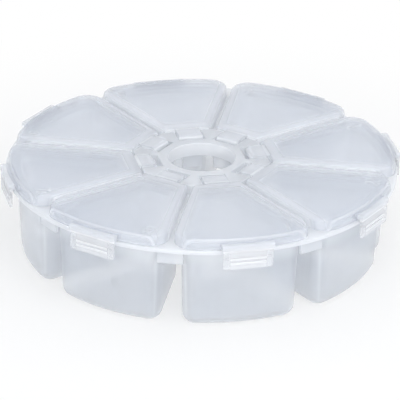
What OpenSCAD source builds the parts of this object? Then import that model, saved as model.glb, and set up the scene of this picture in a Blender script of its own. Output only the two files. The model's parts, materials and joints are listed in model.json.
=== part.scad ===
// Round parts box: wedge-shaped cups hang from one round deck, and each cup has a flat lid of its own.
// Every lid is hinged on a bar of the raised hub and shuts with a flap latch at the rim.
// Millimetres, +Z up, origin at the centre of the underside. Lid 1 points to -Y.

/* [Tray] */
// Radius of the deck at its rim
rim_r = 52.2; // [48:0.1:60]
// Thickness of the deck
deck_t = 1.4; // [1:0.1:2]
// Height of the cups, from the table to the deck
cup_h = 22.4; // [16:0.2:40]
// How far the deck reaches past the cups
rim_overhang = 2.8; // [2:0.1:4]
// Air gap between two cups, at the deck
cup_gap = 4.5; // [3:0.1:7]
// Wall of a cup
cup_wall = 1.2; // [0.8:0.1:1.8]
// Floor of a cup
cup_floor = 1.2; // [0.8:0.1:2]
// Radius of the upright corners of a cup
cup_corner = 3.8; // [2:0.1:5]
// Radius of the rounded edge round a cup's floor
cup_base_round = 3.2; // [2:0.1:4]
// How far the sides and the inner end of a cup lean in, from the deck to the table
cup_draft = 0.4; // [0.2:0.1:1.2]
// How far the outer face of a cup leans in, from the deck to the table
cup_front_draft = 1.4; // [0.4:0.1:2.4]
// Width of the deck between the hub and the cups
inner_land = 3; // [2:0.1:5]
// How far the webs between the cups hang below the deck
web_h = 4.2; // [1:0.1:6]
// Thickness of the webs
web_t = 1; // [0.6:0.1:1.4]
// How far the webs sit in from the outside of the cups
web_setback = 0.3; // [0.1:0.1:0.8]
// Room between a web and the cups beside it
web_clear = 0.08; // [0.05:0.01:0.2]

/* [Hub] */
// Radius of the finger hole through the hub
hole_r = 9; // [6:0.1:12]
// Wall between the finger hole and the hinge notches
hub_ring = 2.3; // [1.5:0.1:4]
// How far the hub stands above the deck
hub_rise = 2.5; // [2.2:0.1:2.8]
// Width of the tabs under the hub
tab_w = 5.4; // [3:0.1:6]
// Thickness of the tabs under the hub
tab_t = 1.1; // [0.8:0.1:1.4]
// How far the tabs hang below the deck
tab_h = 3.8; // [2:0.1:8]

/* [Lids] */
// Height of a lid
lid_h = 2.9; // [2.7:0.1:4]
// Thickness of a lid's top
lid_top_t = 1.2; // [0.8:0.1:1.4]
// Thickness of a lid's skirt
lid_wall = 1.2; // [0.8:0.1:1.6]
// Room between the skirt and the deck
lid_seat = 0.15; // [0.1:0.05:0.3]
// Gap between two lids
lid_gap = 1.36; // [1.2:0.02:2]
// How far a lid's skirt sits in from the rim
lid_setback = 0.2; // [0.1:0.05:0.6]
// How far the outside of a lid leans in, from the skirt to the top
lid_lean = 0.76; // [0.2:0.02:1]
// Radius of a lid's outer corners
lid_corner = 5.2; // [2:0.1:6]
// Radius of a lid's inner corners
lid_inner_corner = 1; // [0.5:0.1:2]
// Gap between a lid and the hub
lid_hub_gap = 0.3; // [0.25:0.05:0.6]

/* [Hinges] */
// Radius of the hinge bars
bar_r = 0.7; // [0.5:0.05:0.9]
// Running room between a bar and its barrel, all round
hinge_clear = 0.05; // [0.02:0.01:0.1]
// Wall of the barrel round the bar
barrel_wall = 0.65; // [0.5:0.05:0.8]
// Width of a lid's tongue and barrel
tongue_w = 6.6; // [4:0.1:7]
// Room between the tongue and each side of its notch
tongue_side_gap = 0.3; // [0.2:0.05:0.5]
// Reach of the tongue, from the bar to the face of the hub
tongue_reach = 3.2; // [2.8:0.1:5]
// Room in the notch behind the barrel
notch_room = 1.3; // [0.4:0.1:2]
// Width of the mouth where the barrel snaps over its bar
snap_w = 1.1; // [0.6:0.05:1.2]

/* [Latches] */
// Width of the boss on the lid that carries a latch
boss_w = 13.8; // [8:0.1:18]
// How much wider the boss is than the flap
boss_extra_w = 0.6; // [0.2:0.1:2]
// How far the underside of the boss sits above the skirt's edge
boss_lift = 0.35; // [0.2:0.05:0.8]
// How far the top of the boss sits below the lid's top
boss_drop = 1.1; // [0.3:0.05:1.2]
// Plastic in front of the latch groove
boss_lip = 0.2; // [0.15:0.05:0.6]
// Thickness of the flap
flap_t = 0.7; // [0.5:0.05:1.2]
// Height of the flap
flap_h = 5.4; // [4:0.1:9]
// Gap between the rim and the flap
flap_gap = 0.25; // [0.2:0.05:0.6]
// How much the pivot roll is thicker than the flap, on each side
roll_extra = 0.05; // [0.05:0.01:0.1]
// Running room between the roll and its groove, all round
roll_clear = 0.05; // [0.02:0.01:0.1]
// Radius of the catch bead on the inside of the flap
bead_r = 0.4; // [0.3:0.05:0.6]
// Room between the catch bead and the rim
bead_clear = 0.1; // [0.05:0.01:0.2]
// Radius of the grip ribs on the outside of the flap
rib_r = 0.35; // [0.2:0.05:0.5]
// Height of the lower grip rib above the flap's foot
rib_foot = 1.7; // [1:0.05:2.5]
// Distance between the grip ribs
rib_pitch = 1.15; // [0.9:0.05:2]
// How far the grip ribs end short of the flap's sides
rib_inset = 1.8; // [0.5:0.1:3]

/* [Hidden] */
$fn = 96;
cells = 8;
pitch = 360 / cells;
half = pitch / 2;
first_angle = -90;

// Clear plastic, a little blue in the shade
tray_colour = [0.82, 0.86, 0.91, 0.6];
lid_colour = [0.86, 0.89, 0.93, 0.5];
latch_colour = [0.9, 0.92, 0.95, 0.6];

// Steps along the rim between two corners, round one corner, and round the edge of a floor
arc_steps = 10;
corner_steps = 6;
round_steps = 4;
// Smallest corner radius that is left when an outline is drawn in
sharp_corner = 0.3;
// Thickness of one slice of a cup's form
slice = 0.01;
// How far a cut runs past the face that it opens
past = 1;

// Heights
deck_top = cup_h + deck_t;
lid_z = deck_top + lid_seat;
lid_top = lid_z + lid_h;
hub_top = deck_top + hub_rise;

// Radii from the finger hole outwards
notch_in = hole_r + hub_ring;
barrel_r = bar_r + hinge_clear + barrel_wall;
hinge_r = notch_in + notch_room + barrel_r;
hinge_z = lid_top - barrel_r;
hub_flat = hinge_r + tongue_reach;
lid_in = hub_flat + lid_hub_gap;
cup_in = hub_flat + inner_land;
notch_w = tongue_w + 2 * tongue_side_gap;

// Radii from the rim inwards
cup_r = rim_r - rim_overhang;
lid_base_r = rim_r - lid_setback;
lid_top_r = lid_base_r - lid_lean;

// The web's place on a dividing line, and half the width that the round corners of the cups leave it
web_out = cup_r - web_setback;
web_in = web_out - web_t;
corner_side = cup_gap / 2 + cup_corner;
corner_along = sqrt(pow(cup_r - cup_corner, 2) - pow(corner_side, 2));
web_half = corner_side - sqrt(pow(cup_corner, 2) - pow(web_in - corner_along, 2)) - web_clear;

// The latch's pivot, beside the rim
flap_w = boss_w - boss_extra_w;
roll_r = flap_t / 2 + roll_extra;
groove_r = roll_r + roll_clear;
latch_r = rim_r + flap_gap + flap_t / 2;
latch_z = lid_z + boss_lift;
boss_out = latch_r + groove_r + boss_lip;
boss_in = sqrt(pow(lid_top_r, 2) - pow(boss_w / 2, 2)) - lid_wall / 2;
boss_top = lid_top - boss_drop;

function angle_of(i) = first_angle + (i - 1) * pitch;

// Points on an arc about a centre
function arc(centre, r, from, to, steps) = [
    for (k = [0:steps])
        let (a = from + (to - from) * k / steps)
        centre + r * [cos(a), sin(a)]
];

// One wedge about +X: straight inner end, sides parallel to the dividing lines, round outer edge
function wedge(inner, outer, inset, corner, inner_corner) =
    let (
        reach = outer - corner,
        turn = half - asin((inset + corner) / reach),
        out_c = reach * [cos(turn), sin(turn)],
        in_x = inner + inner_corner,
        in_y = in_x * tan(half) - (inset + inner_corner) / cos(half)
    )
    concat(
        arc([0, 0], outer, -turn, turn, arc_steps),
        arc(out_c, corner, turn, half + 90, corner_steps),
        arc([in_x, in_y], inner_corner, half + 90, 180, corner_steps),
        arc([in_x, -in_y], inner_corner, 180, 270 - half, corner_steps),
        arc([out_c[0], -out_c[1]], corner, 270 - half, 360 - turn, corner_steps)
    );

// A cup's outline at the deck, drawn in by d all round and by front more at its outer face
function cup_outline(d, front = 0) =
    let (corner = max(cup_corner - d, sharp_corner))
    wedge(cup_in + d, cup_r - d - front, cup_gap / 2 + d, corner, corner);

// A lid's outline, drawn in by d all round
function lid_outline(outer, d) =
    wedge(
        lid_in + d,
        outer - d,
        lid_gap / 2 + d,
        max(lid_corner - d, sharp_corner),
        max(lid_inner_corner - d, sharp_corner)
    );

// A round bar along the tangent, with its middle at radius r and height z
module cross_bar(r, z, radius, length) {
    translate([r, 0, z]) rotate([90, 0, 0]) cylinder(h = length, r = radius, center = true);
}

// A block across the mid-line, between two radii and two heights
module cross_block(r_in, r_out, width, z_low, z_high) {
    translate([r_in, -width / 2, z_low]) cube([r_out - r_in, width, z_high - z_low]);
}

// The hub's eight-sided outline, with one flat for each lid
module hub_prism(z_low, z_high) {
    translate([0, 0, z_low])
        rotate(half)
            cylinder(h = z_high - z_low, r = hub_flat / cos(half), $fn = cells);
}

// A cup's form, drawn in by d, from its rounded floor edge up past the deck's underside by over
module cup_form(d, floor_z, edge_r, over) {
    hull() {
        for (k = [0:round_steps]) {
            turn = 90 * k / round_steps;
            z = floor_z + edge_r * (1 - cos(turn));
            lean = 1 - z / cup_h;
            draw_in = edge_r * (1 - sin(turn)) + cup_draft * lean;
            front = (cup_front_draft - cup_draft) * lean;
            translate([0, 0, z]) linear_extrude(slice) polygon(cup_outline(d + draw_in, front));
        }
        translate([0, 0, cup_h - slice]) linear_extrude(slice + over) polygon(cup_outline(d));
    }
}

module top_frame() {
    color(tray_colour) {
        difference() {
            translate([0, 0, cup_h]) cylinder(h = deck_t, r = rim_r);
            hub_prism(cup_h - past, deck_top + past);
            for (i = [1:cells])
                rotate(angle_of(i))
                    translate([0, 0, cup_h - past])
                        linear_extrude(deck_t + 2 * past)
                            polygon(cup_outline(cup_wall));
        }
        for (i = [1:cells])
            rotate(angle_of(i) + half)
                cross_block(web_in, web_out, 2 * web_half, cup_h - web_h, cup_h + deck_t / 2);
    }
}

module hinge_hub() {
    color(tray_colour) {
        difference() {
            hub_prism(cup_h, hub_top);
            translate([0, 0, cup_h - past]) cylinder(h = hub_top - cup_h + 2 * past, r = hole_r);
            for (i = [1:cells])
                rotate(angle_of(i))
                    cross_block(notch_in, hub_flat + past, notch_w, cup_h - past, hub_top + past);
        }
        for (i = [1:cells])
            rotate(angle_of(i)) {
                cross_bar(hinge_r, hinge_z, bar_r, notch_w + 2 * tongue_side_gap);
                cross_block(notch_in - tab_t, notch_in, tab_w, cup_h - tab_h, cup_h + deck_t / 2);
            }
    }
}

module cup(i) {
    color(tray_colour)
        rotate(angle_of(i))
            difference() {
                cup_form(0, 0, cup_base_round, 0);
                cup_form(cup_wall, cup_floor, max(cup_base_round - cup_wall, sharp_corner), past);
            }
}

// The lid's top and skirt, open below
module lid_shell() {
    difference() {
        intersection() {
            translate([0, 0, lid_z])
                linear_extrude(lid_h)
                    polygon(lid_outline(lid_base_r + lid_setback, 0));
            translate([0, 0, lid_z]) cylinder(h = lid_h, r1 = lid_base_r, r2 = lid_top_r);
        }
        translate([0, 0, lid_z - past])
            linear_extrude(lid_h - lid_top_t + past)
                polygon(lid_outline(lid_top_r, lid_wall));
    }
}

module lid(i) {
    color(lid_colour)
        rotate(angle_of(i))
            difference() {
                union() {
                    lid_shell();
                    cross_block(hinge_r, lid_in + lid_wall / 2, tongue_w, hinge_z, lid_top);
                    cross_bar(hinge_r, hinge_z, barrel_r, tongue_w);
                    cross_block(boss_in, boss_out, boss_w, latch_z, boss_top);
                }
                cross_bar(hinge_r, hinge_z, bar_r + hinge_clear, tongue_w + 2 * past);
                cross_block(
                    hinge_r - snap_w / 2, hinge_r + snap_w / 2, tongue_w + 2 * past,
                    hinge_z - barrel_r - past, hinge_z
                );
                cross_bar(latch_r, latch_z, groove_r, boss_w + 2 * past);
            }
}

module latch(i) {
    flap_out = latch_r + flap_t / 2;
    flap_low = latch_z - flap_h;
    bead_z = cup_h - bead_clear - bead_r;
    color(latch_colour)
        rotate(angle_of(i)) {
            cross_bar(latch_r, latch_z, roll_r, flap_w);
            cross_block(latch_r - flap_t / 2, flap_out, flap_w, flap_low, latch_z);
            cross_bar(rim_r + bead_clear + bead_r, bead_z, bead_r, flap_w);
            for (k = [0:1])
                cross_bar(flap_out, flap_low + rib_foot + k * rib_pitch, rib_r, flap_w - 2 * rib_inset);
        }
}

top_frame();
hinge_hub();
for (i = [1:cells]) {
    cup(i);
    lid(i);
    latch(i);
}
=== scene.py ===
"""Dresses the round parts box: a clear frosted tray of wedge cups with hinged lids and flap latches.

Shapes are worked in millimetres, each one pointing along +X, then turned to their place and scaled to metres.
"""

import json
import math

import bmesh
import bpy
from mathutils import Matrix, Vector


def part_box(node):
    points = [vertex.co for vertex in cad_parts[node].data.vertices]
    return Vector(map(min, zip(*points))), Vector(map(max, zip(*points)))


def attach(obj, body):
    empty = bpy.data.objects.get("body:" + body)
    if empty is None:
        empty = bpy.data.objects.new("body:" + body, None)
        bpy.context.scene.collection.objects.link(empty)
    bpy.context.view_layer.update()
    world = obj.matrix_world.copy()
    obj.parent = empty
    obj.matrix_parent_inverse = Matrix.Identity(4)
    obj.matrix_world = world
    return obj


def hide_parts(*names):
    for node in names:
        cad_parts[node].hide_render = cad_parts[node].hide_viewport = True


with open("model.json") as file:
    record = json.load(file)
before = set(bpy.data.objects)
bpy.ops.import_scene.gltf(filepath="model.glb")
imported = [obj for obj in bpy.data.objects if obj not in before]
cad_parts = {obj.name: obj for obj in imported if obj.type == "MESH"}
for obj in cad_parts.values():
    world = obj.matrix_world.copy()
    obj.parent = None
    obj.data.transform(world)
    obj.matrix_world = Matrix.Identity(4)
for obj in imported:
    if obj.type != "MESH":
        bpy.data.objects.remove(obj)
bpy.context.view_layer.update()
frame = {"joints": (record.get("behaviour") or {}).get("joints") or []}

MM = 0.001
UP = (0, 0, 1)
QUARTER = math.pi / 2
CELLS = 8
# Half of a cell's angle, and the direction of the first cell
HALF = math.pi / CELLS
FIRST_ANGLE = -QUARTER
# Steps along a corner, a quarter round, a cell's rim and a rod
ROUND_STEPS = 6
QUARTER_STEPS = 5
ARC_STEPS = 16
ROD_STEPS = 20
# Millimetres or radians within which places count as the same, and millimetres within which points are joined
SAME = 1e-4
WELD = 0.001
# Edges that turn by more than these are rounded, or shaded sharp
ROUND_ABOVE = math.radians(35)
SHARP_ABOVE = math.radians(40)


# Sizes taken from the frame, in millimetres
def corner(node, which):
    return Vector(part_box(node)[which]) / MM


def joint_place(name):
    place = next(j["pos_m"] for j in frame["joints"] if j["name"] == name)
    return math.hypot(place[0], place[1]) / MM, place[2] / MM


RIM_R = corner("top_frame", 1).x
DECK_TOP = corner("top_frame", 1).z
DECK_LOW = corner("cup_1", 1).z
WEB_LOW = corner("top_frame", 0).z
CUP_IN = -corner("cup_1", 1).y
CUP_R = -corner("cup_1", 0).y
HUB_FLAT = corner("hinge_hub", 1).x
HUB_TOP = corner("hinge_hub", 1).z
TAB_LOW = corner("hinge_hub", 0).z
LID_LOW = corner("lid_1", 0).z
LID_TOP = corner("lid_1", 1).z
LATCH_LOW = corner("latch_1", 0).z
LATCH_OUT = -corner("latch_1", 0).y
LATCH_HALF = corner("latch_1", 1).x
HINGE_R, HINGE_Z = joint_place("lid_1_hinge")
LATCH_R, LATCH_Z = joint_place("latch_1_hinge")

# Sizes of the tray that the frame's boxes don't give
CUP_GAP = 4.5
CUP_WALL = 1.2
CUP_FLOOR = 1.2
CUP_CORNER = 3.8
CUP_DRAFT = 0.4
CUP_FRONT_DRAFT = 1.4
CUP_BASE_ROUND = 3.2
CUP_BASE_STEPS = 5
TRAY_EDGE = 0.3
TRAY_EDGE_STEPS = 3
TRAY_EDGE_ABOVE = math.radians(50)
WEB_SETBACK = 0.3
WEB_T = 1.0
WEB_HALF = 3.45
WEB_SEAT = 0.5
WEB_EDGE = 0.2
HOLE_R = 9.0
NOTCH_IN = 11.3
NOTCH_HALF = 3.6
HUB_EDGE = 0.25
HUB_EDGE_STEPS = 3
BAR_R = 0.7
BAR_SEAT = 0.2
TAB_T = 1.1
TAB_W = 5.4
TAB_SEAT = 0.4
TAB_EDGE = 0.2

# Sizes of the lids
LID_HUB_GAP = 0.3
LID_GAP = 1.36
LID_SETBACK = 0.2
LID_LEAN = 0.76
LID_DRAFT = 0.12
LID_WALL = 1.2
LID_TOP_T = 1.2
LID_CORNER = 5.2
LID_CORNER_DRAFT = 0.4
LID_INNER_CORNER = 1.0
LID_EDGE = 0.8
LID_EDGE_STEPS = 4
TONGUE_W = 6.6
TONGUE_EDGE = 0.12
BARREL_STEPS = 12
BORE_R = 0.75
BORE_STEPS = 16
SNAP_HALF = 0.55
BOSS_W = 13.8
BOSS_DROP = 1.1
BOSS_LIP = 0.2
BOSS_CROWN = 0.6
BOSS_CORNER = 1.0
BOSS_CORNER_STEPS = 4
BOSS_EDGE = 0.15
GROOVE_R = 0.45
NUMBER_H = 5.6
NUMBER_T = 0.28
NUMBER_REACH = 45.5
NUMBER_ASIDE = 12.2
NUMBER_DROP = 0.1

# Sizes of the latches
FLAP_T = 0.7
FLAP_CORNER = 0.9
FLAP_CORNER_STEPS = 5
FLAP_EDGE = 0.14
ROLL_R = 0.4
ROLL_EDGE = 0.1
BEAD_R = 0.4
BEAD_OUT = 0.5
BEAD_DROP = 0.5
BEAD_INSET = 0.5
BEAD_EDGE = 0.15
RIBS = 2
RIB_W = 9.6
RIB_FOOT = 1.7
RIB_PITCH = 1.15
RIB_EDGE_SHARE = 0.6
RIB_EDGE_STEPS = 3


# Outlines and solids
def verts_of(geom):
    return [v for v in geom if isinstance(v, bmesh.types.BMVert)]


def trace(bm, start, moves):
    """Traces a closed outline in the XY plane from start.

    A move is a point, or a centre, a turn and its steps.
    """
    trail = [bm.verts.new((*start, 0))]
    for move in moves:
        if len(move) == 2:
            trail.append(bm.verts.new((*move, 0)))
            continue
        centre, turn, steps = move
        for _ in range(steps):
            step = bmesh.ops.spin(
                bm, geom=[trail[-1]], cent=(*centre, 0), axis=UP, angle=turn / steps, steps=1
            )
            trail += verts_of(step["geom_last"])
    return trail


def close(bm, trail):
    """The edges of a traced outline, with the last one added."""
    edges = []
    for a, b in zip(trail, trail[1:] + trail[:1]):
        edges.append(bm.edges.get((a, b)) or bm.edges.new((a, b)))
    return edges


def lift(bm, trail, z):
    bmesh.ops.translate(bm, verts=trail, vec=(0, 0, z))
    return trail


def turned(bm, angle, axis="Z"):
    bmesh.ops.rotate(bm, verts=bm.verts, cent=(0, 0, 0), matrix=Matrix.Rotation(angle, 3, axis))
    return bm


def draw_up(bm, face, height):
    """Draws a face up, which makes an outline a solid or sinks a hollow into one from below."""
    made = bmesh.ops.extrude_face_region(bm, geom=[face])["geom"]
    bmesh.ops.translate(bm, verts=verts_of(made), vec=(0, 0, height))


def round_edges(bm, edges, radius, segments, clamp=False):
    bmesh.ops.bevel(
        bm, geom=edges, offset=radius, offset_type="OFFSET", segments=segments, profile=0.5,
        affect="EDGES", material=-1, clamp_overlap=clamp,
    )


def soften(bm, radius, segments=2):
    """Rounds every edge that turns sharply."""
    sharp = [e for e in bm.edges if e.is_manifold and e.calc_face_angle() > ROUND_ABOVE]
    round_edges(bm, sharp, radius, segments, clamp=True)
    return bm


def edges_at(bm, axis, level):
    """The edges at one level of an axis that don't run across the mid-line."""
    return [
        e for e in bm.edges
        if all(abs(v.co[axis] - level) < SAME for v in e.verts)
        and abs(e.verts[0].co.y - e.verts[1].co.y) < SAME
    ]


def wedge(bm, inner, outer, inset, corner_r, inner_r, z):
    """One cell's outline: straight inner end, sides parallel to the dividing lines, round rim and corners."""
    reach = outer - corner_r
    turn = HALF - math.asin((inset + corner_r) / reach)
    out_x, out_y = reach * math.cos(turn), reach * math.sin(turn)
    in_x = inner + inner_r
    in_y = in_x * math.tan(HALF) - (inset + inner_r) / math.cos(HALF)
    side = HALF + QUARTER
    end_x = in_x + inner_r * math.cos(side)
    end_y = in_y + inner_r * math.sin(side)
    out_side = (out_x + corner_r * math.cos(side), -out_y - corner_r * math.sin(side))
    moves = [
        ((0, 0), 2 * turn, ARC_STEPS),
        ((out_x, out_y), side - turn, ROUND_STEPS),
        (end_x, end_y),
        ((in_x, in_y), math.pi - side, ROUND_STEPS),
        (inner, -in_y),
        ((in_x, -in_y), math.pi - side, ROUND_STEPS),
        out_side,
        ((out_x, -out_y), (side - turn) * (ROUND_STEPS - 1) / ROUND_STEPS, ROUND_STEPS - 1),
    ]
    start = (outer * math.cos(turn), -outer * math.sin(turn))
    return lift(bm, trace(bm, start, moves), z)


def prism(profile, width):
    """A solid of one section.

    The profile is a start and moves in radius and height, and the width runs across the mid-line.
    """
    bm = bmesh.new()
    draw_up(bm, bm.faces.new(trace(bm, *profile)), width)
    bmesh.ops.translate(bm, verts=bm.verts, vec=(0, 0, -width / 2))
    turned(bm, QUARTER, "X")
    bmesh.ops.recalc_face_normals(bm, faces=bm.faces)
    return bm


def block(x_low, x_high, width, z_low, z_high):
    return prism(((x_low, z_low), [(x_high, z_low), (x_high, z_high), (x_low, z_high)]), width)


def cross_rod(x, z, radius, width):
    """A round rod across the mid-line."""
    bm = bmesh.new()
    bmesh.ops.create_cone(
        bm, cap_ends=True, segments=ROD_STEPS, radius1=radius, radius2=radius, depth=width,
        matrix=Matrix.Translation((x, 0, z)) @ Matrix.Rotation(QUARTER, 4, "X"),
    )
    return bm


def merged(parts):
    """One mesh of several solids."""
    whole = bmesh.new()
    for part in parts:
        scratch = bpy.data.meshes.new("scratch")
        part.to_mesh(scratch)
        whole.from_mesh(scratch)
        bpy.data.meshes.remove(scratch)
        part.free()
    return whole


def ring_of(bm):
    """One copy of a cell's shape for every cell, about the centre."""
    bmesh.ops.spin(
        bm, geom=bm.verts[:] + bm.edges[:] + bm.faces[:], cent=(0, 0, 0), axis=UP,
        angle=2 * math.pi * (CELLS - 1) / CELLS, steps=CELLS - 1, use_duplicate=True,
    )
    bmesh.ops.remove_doubles(bm, verts=bm.verts, dist=WELD)
    return bm


def piece(name, bm, angle, body, finish, stands_for=()):
    """Turns a shape to its place, scales it to metres and makes it an object that rides on a body."""
    turned(bm, angle)
    bmesh.ops.scale(bm, verts=bm.verts, vec=(MM, MM, MM))
    mesh = bpy.data.meshes.new(name)
    bm.to_mesh(mesh)
    bm.free()
    mesh.polygons.foreach_set("use_smooth", [True] * len(mesh.polygons))
    mesh.set_sharp_from_angle(angle=SHARP_ABOVE)
    mesh.materials.append(finish)
    made = bpy.data.objects.new(name, mesh)
    bpy.context.scene.collection.objects.link(made)
    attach(made, body)
    if stands_for:
        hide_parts(*stands_for)
    return made


# The tray
def cup_sheet():
    """The inside of one cup and its share of the deck's top, as a sheet."""
    bm = bmesh.new()
    mouth_corner = CUP_CORNER - CUP_WALL
    mouth = wedge(
        bm, CUP_IN + CUP_WALL, CUP_R - CUP_WALL, CUP_GAP / 2 + CUP_WALL,
        mouth_corner, mouth_corner, DECK_TOP,
    )
    lean = 1 - CUP_FLOOR / DECK_LOW
    drawn_in = CUP_WALL + CUP_DRAFT * lean
    floor_corner = CUP_CORNER - drawn_in
    floor = wedge(
        bm, CUP_IN + drawn_in, CUP_R - CUP_WALL - CUP_FRONT_DRAFT * lean, CUP_GAP / 2 + drawn_in,
        floor_corner, floor_corner, CUP_FLOOR,
    )
    mouth_edges = close(bm, mouth)
    floor_face = bm.faces.new(floor)
    bmesh.ops.bridge_loops(bm, edges=mouth_edges + floor_face.edges[:])
    round_edges(bm, floor_face.edges[:], CUP_BASE_ROUND - CUP_WALL, CUP_BASE_STEPS)
    hub_side = HUB_FLAT * math.tan(HALF)
    rim_x, rim_y = RIM_R * math.cos(HALF), RIM_R * math.sin(HALF)
    border = trace(
        bm, (HUB_FLAT, -hub_side), [(rim_x, -rim_y), ((0, 0), 2 * HALF, ARC_STEPS), (HUB_FLAT, hub_side)]
    )
    lift(bm, border, DECK_TOP)
    mouth_edges = [e for e in bm.edges if e.is_boundary and all(v not in border for v in e.verts)]
    bmesh.ops.triangle_fill(bm, use_beauty=True, edges=close(bm, border) + mouth_edges)
    return bm


def tray_shell(finish):
    """The deck and the cups below it, as one wall."""
    bm = ring_of(cup_sheet())
    bmesh.ops.recalc_face_normals(bm, faces=bm.faces)
    deck = min(bm.faces, key=lambda f: abs(f.calc_center_median().z - DECK_TOP))
    if deck.normal.z < 0:
        bmesh.ops.reverse_faces(bm, faces=bm.faces)
    made = piece(
        "tray_shell", bm, FIRST_ANGLE, "tray", finish,
        ["top_frame"] + [f"cup_{n + 1}" for n in range(CELLS)],
    )
    wall = made.modifiers.new("wall", "SOLIDIFY")
    wall.thickness = CUP_WALL * MM
    wall.offset = -1
    wall.use_even_offset = True
    edge = made.modifiers.new("edge", "BEVEL")
    edge.width = TRAY_EDGE * MM
    edge.segments = TRAY_EDGE_STEPS
    edge.limit_method = "ANGLE"
    edge.angle_limit = TRAY_EDGE_ABOVE
    return made


def deck_webs(finish):
    """The short walls that join the cups under the rim."""
    web_out = CUP_R - WEB_SETBACK
    web = block(web_out - WEB_T, web_out, 2 * WEB_HALF, WEB_LOW, DECK_LOW + WEB_SEAT)
    webs = ring_of(turned(soften(web, WEB_EDGE), HALF))
    return piece("deck_webs", webs, FIRST_ANGLE, "tray", finish)


def hinge_hub(finish):
    """The raised ring with its notches, hinge bars and the tabs below."""
    bm = bmesh.new()
    hub_side = HUB_FLAT * math.tan(HALF)
    hole_x, hole_y = HOLE_R * math.cos(HALF), HOLE_R * math.sin(HALF)
    trail = trace(
        bm, (hole_x, -hole_y),
        [
            ((0, 0), 2 * HALF, ROUND_STEPS * 2),
            (HUB_FLAT, hub_side),
            (HUB_FLAT, NOTCH_HALF),
            (NOTCH_IN, NOTCH_HALF),
            (NOTCH_IN, -NOTCH_HALF),
            (HUB_FLAT, -NOTCH_HALF),
            (HUB_FLAT, -hub_side),
        ],
    )
    draw_up(bm, bm.faces.new(lift(bm, trail, DECK_LOW)), HUB_TOP - DECK_LOW)
    seams = [f for f in bm.faces if abs(abs(math.atan2(*f.calc_center_median().yx)) - HALF) < SAME]
    bmesh.ops.delete(bm, geom=seams, context="FACES")
    ring_of(bm)
    bmesh.ops.recalc_face_normals(bm, faces=bm.faces)
    soften(bm, HUB_EDGE, HUB_EDGE_STEPS)
    bar = cross_rod(HINGE_R, HINGE_Z, BAR_R, 2 * (NOTCH_HALF + BAR_SEAT))
    tab = soften(block(NOTCH_IN - TAB_T, NOTCH_IN, TAB_W, TAB_LOW, DECK_LOW + TAB_SEAT), TAB_EDGE)
    whole = merged([bm, ring_of(bar), ring_of(tab)])
    return piece("hinge_hub_ring", whole, FIRST_ANGLE, "tray", finish, ["hinge_hub"])


# The lids
def lid_shell():
    """A lid's top and skirt, hollow below."""
    bm = bmesh.new()
    inner = HUB_FLAT + LID_HUB_GAP
    base_r = RIM_R - LID_SETBACK
    low = wedge(bm, inner, base_r, LID_GAP / 2, LID_CORNER, LID_INNER_CORNER, LID_LOW)
    top = wedge(
        bm, inner + LID_DRAFT, base_r - LID_LEAN, LID_GAP / 2 + LID_DRAFT,
        LID_CORNER - LID_CORNER_DRAFT, LID_INNER_CORNER, LID_TOP,
    )
    low_face = bm.faces.new(low)
    top_face = bm.faces.new(top)
    bmesh.ops.bridge_loops(bm, edges=low_face.edges[:] + top_face.edges[:])
    bmesh.ops.recalc_face_normals(bm, faces=bm.faces)
    rim = top_face.edges[:]
    bmesh.ops.inset_region(bm, faces=[low_face], thickness=LID_WALL, use_even_offset=True)
    draw_up(bm, low_face, LID_TOP - LID_TOP_T - LID_LOW)
    round_edges(bm, rim, LID_EDGE, LID_EDGE_STEPS)
    bmesh.ops.recalc_face_normals(bm, faces=bm.faces)
    return bm


def lid_tongue():
    """The tongue with the hook that snaps over the hinge bar."""
    barrel_r = LID_TOP - HINGE_Z
    slot_out = math.asin(SNAP_HALF / barrel_r)
    slot_in = math.asin(SNAP_HALF / BORE_R)
    centre = (HINGE_R, HINGE_Z)
    end = HUB_FLAT + LID_HUB_GAP + LID_WALL / 2
    bore_left = (HINGE_R - SNAP_HALF, HINGE_Z - BORE_R * math.cos(slot_in))
    barrel_right = (HINGE_R + SNAP_HALF, HINGE_Z - barrel_r * math.cos(slot_out))
    profile = (
        (end, LID_TOP),
        [
            (HINGE_R, LID_TOP),
            (centre, math.pi - slot_out, BARREL_STEPS),
            bore_left,
            (centre, -2 * math.pi + 2 * slot_in, BORE_STEPS),
            barrel_right,
            (centre, QUARTER - slot_out, QUARTER_STEPS),
            (end, HINGE_Z),
        ],
    )
    return soften(prism(profile, TONGUE_W), TONGUE_EDGE)


def lid_boss():
    """The block on the skirt that carries the latch, with a round groove below."""
    outer = LATCH_R + GROOVE_R + BOSS_LIP
    top = LID_TOP - BOSS_DROP
    shoulder = top - BOSS_CROWN
    skirt = RIM_R - LID_SETBACK - LID_LEAN
    inner = math.sqrt(skirt**2 - (BOSS_W / 2) ** 2) - LID_WALL / 2
    profile = (
        (inner, LATCH_Z),
        [
            (LATCH_R - GROOVE_R, LATCH_Z),
            ((LATCH_R, LATCH_Z), -math.pi, 2 * QUARTER_STEPS),
            (outer, LATCH_Z),
            (outer, shoulder),
            ((outer - BOSS_CROWN, shoulder), QUARTER, QUARTER_STEPS),
            (inner, top),
        ],
    )
    boss = prism(profile, BOSS_W)
    round_edges(boss, edges_at(boss, 0, outer), BOSS_CORNER, BOSS_CORNER_STEPS)
    return soften(boss, BOSS_EDGE)


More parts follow.
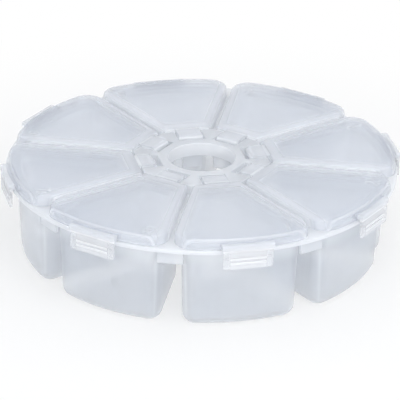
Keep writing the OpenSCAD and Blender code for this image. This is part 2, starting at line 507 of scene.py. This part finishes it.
def lid_number(text):
    """A raised number on the underside of a lid, to be read from above."""
    curve = bpy.data.curves.new("number", "FONT")
    curve.body = text
    curve.size = NUMBER_H
    curve.extrude = NUMBER_T / 2
    curve.align_x = "CENTER"
    curve.align_y = "CENTER"
    scratch = bpy.data.objects.new("number", curve)
    mesh = bpy.data.meshes.new_from_object(scratch)
    bm = bmesh.new()
    bm.from_mesh(mesh)
    bpy.data.objects.remove(scratch)
    bpy.data.curves.remove(curve)
    bpy.data.meshes.remove(mesh)
    bmesh.ops.remove_doubles(bm, verts=bm.verts, dist=WELD)
    place = Matrix.Translation((NUMBER_REACH, NUMBER_ASIDE, LID_TOP - LID_TOP_T - NUMBER_DROP))
    bmesh.ops.transform(bm, verts=bm.verts, matrix=place @ Matrix.Rotation(QUARTER, 4, "Z"))
    return bm


# The latches
def latch():
    """The flap with its pivot roll, catch bead and grip ribs."""
    width = 2 * LATCH_HALF
    face = LATCH_R + FLAP_T / 2
    flap = block(face - FLAP_T, face, width, LATCH_LOW, LATCH_Z)
    round_edges(flap, edges_at(flap, 2, LATCH_LOW), FLAP_CORNER, FLAP_CORNER_STEPS)
    soften(flap, FLAP_EDGE)
    roll = soften(cross_rod(LATCH_R, LATCH_Z, ROLL_R, width), ROLL_EDGE)
    bead = cross_rod(RIM_R + BEAD_OUT, DECK_LOW - BEAD_DROP, BEAD_R, width - 2 * BEAD_INSET)
    soften(bead, BEAD_EDGE)
    rib_r = LATCH_OUT - face
    ribs = []
    for k in range(RIBS):
        rib = cross_rod(face, LATCH_LOW + RIB_FOOT + RIB_PITCH * k, rib_r, RIB_W)
        ribs.append(soften(rib, rib_r * RIB_EDGE_SHARE, RIB_EDGE_STEPS))
    return merged([flap, roll, bead, *ribs])


# Finishes
class Wire:
    """A node's socket that takes part in sums and products, by Math nodes."""

    def __init__(self, finish, socket):
        self.finish = finish
        self.socket = socket

    def _math(self, operation, a, b=0.0):
        made = self.finish.node("ShaderNodeMath", {"operation": operation}, {0: a, 1: b})
        return Wire(self.finish, made.outputs[0])

    def __add__(self, other):
        return self._math("ADD", self, other)

    def __radd__(self, other):
        return self._math("ADD", other, self)

    def __sub__(self, other):
        return self._math("SUBTRACT", self, other)

    def __rsub__(self, other):
        return self._math("SUBTRACT", other, self)

    def __mul__(self, other):
        return self._math("MULTIPLY", self, other)

    def __rmul__(self, other):
        return self._math("MULTIPLY", other, self)

    def __pow__(self, other):
        return self._math("POWER", self, other)

    def __abs__(self):
        return self._math("ABSOLUTE", self)

    def least(self, other):
        return self._math("MINIMUM", self, other)

    def most(self, other):
        return self._math("MAXIMUM", self, other)


class Finish:
    """A material's node tree."""

    def __init__(self, name):
        self.material = bpy.data.materials.new(name)
        self.material.use_nodes = True
        self.tree = self.material.node_tree
        self.tree.nodes.clear()

    def node(self, kind, settings=None, sockets=None):
        """Adds a node, applies its settings, then sets or links its sockets."""
        made = self.tree.nodes.new(kind)
        for key, value in (settings or {}).items():
            setattr(made, key, value)
        for key, value in (sockets or {}).items():
            if isinstance(value, Wire):
                self.tree.links.new(value.socket, made.inputs[key])
            else:
                made.inputs[key].default_value = value
        return made

    def wire(self, kind, output, settings=None, sockets=None):
        return Wire(self, self.node(kind, settings, sockets).outputs[output])

    def noise(self, place, scale, detail, rough=0.5):
        return self.wire(
            "ShaderNodeTexNoise", "Fac", None,
            {"Vector": place, "Scale": scale, "Detail": detail, "Roughness": rough},
        )

    def fade(self, value, full, none):
        """1 where value is at full, falling smoothly to 0 at none."""
        return self.wire(
            "ShaderNodeMapRange", "Result", {"interpolation_type": "SMOOTHSTEP"},
            {"Value": value, "From Min": full, "From Max": none, "To Min": 1.0, "To Max": 0.0},
        )

    def blend(self, share, a, b):
        """A colour between a and b."""
        return self.wire("ShaderNodeMix", 2, {"data_type": "RGBA"}, {0: share, 6: a, 7: b})


class Cell:
    """A point's place in its own cell, in millimetres.

    radius is from the centre and height from the floor. reach runs along the cell's mid-line, across is the
    distance from that line, and aside is the distance from the nearer dividing line.
    """

    def __init__(self, f, place):
        split = f.node("ShaderNodeSeparateXYZ", None, {0: place})
        x, y, z = (Wire(f, out) * (1 / MM) for out in split.outputs)
        turn = f.wire("ShaderNodeMath", 0, {"operation": "ARCTAN2"}, {0: y, 1: x})
        folded = f.wire("ShaderNodeMath", 0, {"operation": "WRAP"}, {0: turn, 1: HALF, 2: -HALF})
        self.radius = (x * x + y * y) ** 0.5
        self.reach = self.radius * f.wire("ShaderNodeMath", 0, {"operation": "COSINE"}, {0: folded})
        self.across = abs(self.radius * f.wire("ShaderNodeMath", 0, {"operation": "SINE"}, {0: folded}))
        self.aside = self.reach * math.sin(HALF) - self.across * math.cos(HALF)
        self.height = z


# How milky each moulding is, from 0 where its wall is thin to 1 at its thickest. Some shares also paint
# light: highlight lines on the lids' rounded edges, and lighter tone where shade falls under the rim and in
# the gaps between lids. Each line fades one region's share over a span in millimetres, and the greatest share
# counts.
# region's share over a span in millimetres, and the greatest share counts.
def lid_thickness_and_painted_light(f, cell):
    """Milky at the edges and the boss, less so over the deck that the lid shuts on, with painted highlights
    on the top edges.
    """
    side = cell.aside - LID_GAP / 2
    end = cell.reach - HUB_FLAT - LID_HUB_GAP
    border = side.least(abs(end))
    outer = RIM_R - LID_SETBACK - LID_LEAN - cell.radius
    upper = f.fade(cell.height, LID_TOP - 0.7, LID_TOP - 0.2)
    # Painted highlights: the shares on the rounded top edges whiten them into bright lines. The ones at the
    # sides are partly the plastic seen edge-on, and the upper sides also get painted light over the shade in
    # the gaps between lids.
    flank_thick_and_painted_light = f.fade(border, 0.1, 0.3) * upper
    edge = f.fade(border, 0.2, 0.9) * 0.45
    crest_painted_glint = f.fade(abs(outer), 0.0, 0.5) * 0.35
    land = f.fade(side.least(end - 1.1), 0.8, 5.5) * 0.3
    skirt = f.fade(outer, -0.3, 0.0) * 0.12
    boss = f.fade(cell.radius, RIM_R + 0.3, RIM_R - 0.1) * 0.5
    hook = f.fade(end, -0.6, -0.3) * (0.3 + 0.5 * upper)
    return flank_thick_and_painted_light.most(edge).most(crest_painted_glint).most(land).most(skirt).most(boss).most(hook)


def tray_thickness_and_painted_light(f, cell):
    """Milky at the hub, the deck and the hole, and less so at the cups' corners, feet and upper ends; the
    upper ends and the deck are partly painted light over shade.
    """
    side = cell.aside - CUP_GAP / 2
    end = (CUP_R - cell.radius).least(cell.reach - CUP_IN)
    below_deck = DECK_LOW - cell.height
    upright = f.fade(side.most(end), 0.6, 2.6) * 0.42
    foot = f.fade(cell.height, 0.7, 1.8) * 0.35
    hub = f.fade(cell.reach, HUB_FLAT, HUB_FLAT + 0.6)
    crown = hub * f.fade(cell.height, HUB_TOP - 0.5, HUB_TOP - 0.1) * 0.45
    # Partly painted light: the deck's share is raised to lift the shade in the gaps between lids.
    deck = f.fade(below_deck, 0.0, 0.6) * (1 - hub) * 0.7
    bore = f.fade(cell.radius, HOLE_R + 0.02, HOLE_R + 0.15)
    # Painted light: the cups' walls just under the rim are whitened where the rim's shade falls.
    collar_painted_light = f.fade(below_deck, 0.0, 6.0) * 0.42
    return upright.most(foot).most(crown).most(hub * 0.3).most(deck).most(bore).most(collar_painted_light)


def latch_thickness(f, cell):
    """Milky at the roll, the ribs and the foot, and clearer at the sides of the flap."""
    face = LATCH_R + FLAP_T / 2
    roll = f.fade(abs(cell.height - LATCH_Z), 0.3, 1.0) * 0.8
    foot = f.fade(cell.height, LATCH_LOW + 0.1, LATCH_LOW + 0.6) * 0.4
    ribs = f.fade(cell.reach, face + 0.2, face + 0.05) * 0.75
    middle = f.fade(cell.across, LATCH_HALF - 2.2, LATCH_HALF - 0.8) * 0.36
    return roll.most(foot).most(ribs).most(middle).most(0.14)


def number_thickness(f, cell):
    """Milky all over."""
    return 0.8


PLASTIC_IOR = 1.49
CLEAR_SHARE = 0.65
MILKY_OPACITY = 0.7


def frosted_plastic(name, thickness, thin_tints, milky_tints, opacity, gloss):
    """Clear moulded plastic with a fine frost, cloudy, with faint flow streaks and scuffs.

    A thin wall lets blurred light through, and thicker plastic is milky; the milky share also carries painted
    highlights and painted light over shade. Tints come in pairs, deep and pale.
    """
    f = Finish(name)
    place = f.wire("ShaderNodeTexCoord", "Object")
    cloud = f.noise(place, scale=70, detail=3)
    frost = f.noise(place, scale=700, detail=4)
    stretched = f.wire("ShaderNodeMapping", "Vector", None, {"Vector": place, "Scale": (1, 1, 0.12)})
    streak = f.noise(stretched, scale=420, detail=4, rough=0.6)
    scuff = f.fade(f.noise(place, scale=300, detail=4, rough=0.6), 0.8, 0.5)
    facing = f.wire("ShaderNodeLayerWeight", "Facing", None, {"Blend": 0.35})
    grain = f.wire(
        "ShaderNodeBump", "Normal", None, {"Height": frost, "Strength": 0.01, "Distance": 0.0001}
    )
    uneven = (cloud - 0.5) * 0.03 + (streak - 0.5) * 0.01
    skin = {
        "Roughness": gloss + (frost - 0.5) * 0.03 + (streak - 0.5) * 0.02 + scuff * 0.01,
        "Normal": grain,
        "IOR": PLASTIC_IOR,
        "Specular IOR Level": 0.6,
    }
    thin = f.wire(
        "ShaderNodeBsdfPrincipled", "BSDF", None,
        {
            **skin,
            "Base Color": f.blend(cloud, *thin_tints),
            "Alpha": opacity + uneven + facing * 0.15,
            "Transmission Weight": CLEAR_SHARE,
        },
    )
    milky = f.wire(
        "ShaderNodeBsdfPrincipled", "BSDF", None,
        {**skin, "Base Color": f.blend(cloud, *milky_tints), "Alpha": MILKY_OPACITY + uneven},
    )
    # The milky share also holds the lid and tray masks' painted highlights and painted light over shade.
    milk_share = thickness(f, Cell(f, place))
    shader = f.wire("ShaderNodeMixShader", "Shader", None, {0: milk_share, 1: thin, 2: milky})
    f.node("ShaderNodeOutputMaterial", None, {"Surface": shader})
    return f.material


THIN_TRAY = ((0.86, 0.91, 0.985, 1), (0.89, 0.93, 0.99, 1))
THIN_LID = ((0.87, 0.91, 0.985, 1), (0.90, 0.93, 0.99, 1))
THIN_LATCH = ((0.93, 0.95, 0.98, 1), (0.96, 0.97, 0.99, 1))
# The pale box tint is also the colour of the painted highlights on the lids' edges and the painted light
# under the rim and in the gaps.
MILKY_BOX = ((0.92, 0.94, 0.975, 1), (0.94, 0.955, 0.98, 1))
THICK_LATCH = ((0.93, 0.94, 0.965, 1), (0.95, 0.955, 0.975, 1))
tray_finish = frosted_plastic(
    "frosted_tray", tray_thickness_and_painted_light, THIN_TRAY, MILKY_BOX, opacity=0.30, gloss=0.30
)
lid_finish = frosted_plastic(
    "frosted_lid", lid_thickness_and_painted_light, THIN_LID, MILKY_BOX, opacity=0.46, gloss=0.26
)
latch_finish = frosted_plastic(
    "frosted_latch", latch_thickness, THIN_LATCH, THICK_LATCH, opacity=0.38, gloss=0.24
)
number_finish = frosted_plastic(
    "frosted_number", number_thickness, THIN_LATCH, THICK_LATCH, opacity=0.42, gloss=0.26
)

tray_shell(tray_finish)
deck_webs(tray_finish)
hinge_hub(tray_finish)
for n in range(CELLS):
    angle = FIRST_ANGLE + 2 * HALF * n
    tag = str(n + 1)
    lid_body, latch_body = f"lid_{tag}_body", f"latch_{tag}_body"
    lid_parts = merged([lid_shell(), lid_tongue(), lid_boss()])
    piece("lid_moulding_" + tag, lid_parts, angle, lid_body, lid_finish, ["lid_" + tag])
    piece("lid_number_" + tag, lid_number(tag), angle, lid_body, number_finish)
    piece("latch_flap_" + tag, latch(), angle, latch_body, latch_finish, ["latch_" + tag])


# Camera, at the photograph's angle
CAMERA_AZIMUTH = math.radians(-13.5)
CAMERA_HEIGHT = math.radians(25.37)
CAMERA_ROLL = math.radians(1.08)
CAMERA_AWAY = 1.0
CAMERA_NEAR, CAMERA_FAR = 0.05, 20
LENS_MM = 335.6
SENSOR_MM = 36
AIM = Vector((0, 0, 0.014))
AIM_OFF = Vector((-0.244, -0.445)) * MM


def photo_camera():
    back = Vector(
        (
            math.sin(CAMERA_AZIMUTH) * math.cos(CAMERA_HEIGHT),
            -math.cos(CAMERA_AZIMUTH) * math.cos(CAMERA_HEIGHT),
            math.sin(CAMERA_HEIGHT),
        )
    )
    lens = bpy.data.cameras.new("camera")
    lens.lens = LENS_MM
    lens.sensor_width = SENSOR_MM
    lens.clip_start, lens.clip_end = CAMERA_NEAR, CAMERA_FAR
    camera = bpy.data.objects.new("camera", lens)
    level = (-back).to_track_quat("-Z", "Y").to_matrix()
    camera.location = AIM + back * CAMERA_AWAY + level @ AIM_OFF.to_3d()
    turn = level @ Matrix.Rotation(CAMERA_ROLL, 3, "Z")
    camera.rotation_euler = turn.to_euler()
    bpy.context.scene.collection.objects.link(camera)
    bpy.context.scene.camera = camera


# Floor and light, in metres
FLOOR_HALF = 3
FLOOR_COLOUR = (0.9, 0.9, 0.9, 1)
WHITE = (1, 1, 1, 1)
SHADOW_NEAR, SHADOW_FAR = 0.06, 0.15
SHADOW_SHARE = 0.4
ROOM_COLOUR = (0.95, 0.97, 1, 1)
ROOM_LEVEL = 0.86
LAMP_AIM = Vector((0, 0, 0.01))
CLEAR_LAYERS = 32


def soft_box(name, place, size, power):
    """A square lamp at a place, turned to the box."""
    light = bpy.data.lights.new(name, "AREA")
    light.shape = "SQUARE"
    light.size = size
    light.energy = power
    lamp = bpy.data.objects.new(name, light)
    lamp.location = place
    lamp.rotation_euler = (Vector(place) - LAMP_AIM).to_track_quat("Z", "Y").to_euler()
    bpy.context.scene.collection.objects.link(lamp)


def seen_directly(f):
    """1 for rays that show the background: to the camera, in gloss or through clear plastic."""
    path = f.node("ShaderNodeLightPath")
    camera, glossy, clear = (
        Wire(f, path.outputs[k]) for k in ("Is Camera Ray", "Is Glossy Ray", "Is Transmission Ray")
    )
    return camera.most(glossy).most(clear)


def studio_floor():
    """Pale paper that looks white, with the box's shadow near the box."""
    bm = bmesh.new()
    bmesh.ops.create_grid(bm, x_segments=1, y_segments=1, size=FLOOR_HALF)
    mesh = bpy.data.meshes.new("floor")
    bm.to_mesh(mesh)
    bm.free()
    floor = bpy.data.objects.new("floor", mesh)
    bpy.context.scene.collection.objects.link(floor)
    f = Finish("studio_floor")
    paper = f.wire("ShaderNodeBsdfDiffuse", "BSDF", None, {"Color": FLOOR_COLOUR})
    white = f.wire("ShaderNodeEmission", "Emission", None, {"Color": WHITE, "Strength": 1.0})
    place = f.wire("ShaderNodeTexCoord", "Object")
    away = f.wire("ShaderNodeVectorMath", "Value", {"operation": "LENGTH"}, {0: place})
    share = seen_directly(f) * (1 - f.fade(away, SHADOW_NEAR, SHADOW_FAR) * SHADOW_SHARE)
    mixed = f.wire("ShaderNodeMixShader", "Shader", None, {0: share, 1: paper, 2: white})
    f.node("ShaderNodeOutputMaterial", None, {"Surface": mixed})
    mesh.materials.append(f.material)


class Sky(Finish):
    """The world's node tree."""

    def __init__(self):
        self.world = bpy.data.worlds.new("studio")
        self.world.use_nodes = True
        self.tree = self.world.node_tree
        self.tree.nodes.clear()
        bpy.context.scene.world = self.world


def studio_light():
    """An even bright room, with soft boxes above and in front."""
    f = Sky()
    room = f.wire("ShaderNodeBackground", "Background", None, {"Color": ROOM_COLOUR, "Strength": ROOM_LEVEL})
    white = f.wire("ShaderNodeBackground", "Background", None, {"Color": WHITE, "Strength": 1.0})
    mixed = f.wire("ShaderNodeMixShader", "Shader", None, {0: seen_directly(f), 1: room, 2: white})
    f.node("ShaderNodeOutputWorld", None, {"Surface": mixed})
    soft_box("key", (0.01, -0.27, 0.3), size=0.25, power=0.4)
    soft_box("front_fill", (-0.11, -0.5, 0.08), size=0.4, power=0.45)
    soft_box("left_fill", (-0.4, -0.3, 0.06), size=0.3, power=0.26)
    soft_box("right_fill", (0.42, -0.28, 0.06), size=0.3, power=0.24)
    soft_box("top", (0.05, -0.25, 0.9), size=0.15, power=0.18)


photo_camera()
studio_floor()
studio_light()

scene = bpy.context.scene
scene.view_settings.view_transform = "Standard"
scene.cycles.transparent_max_bounces = CLEAR_LAYERS
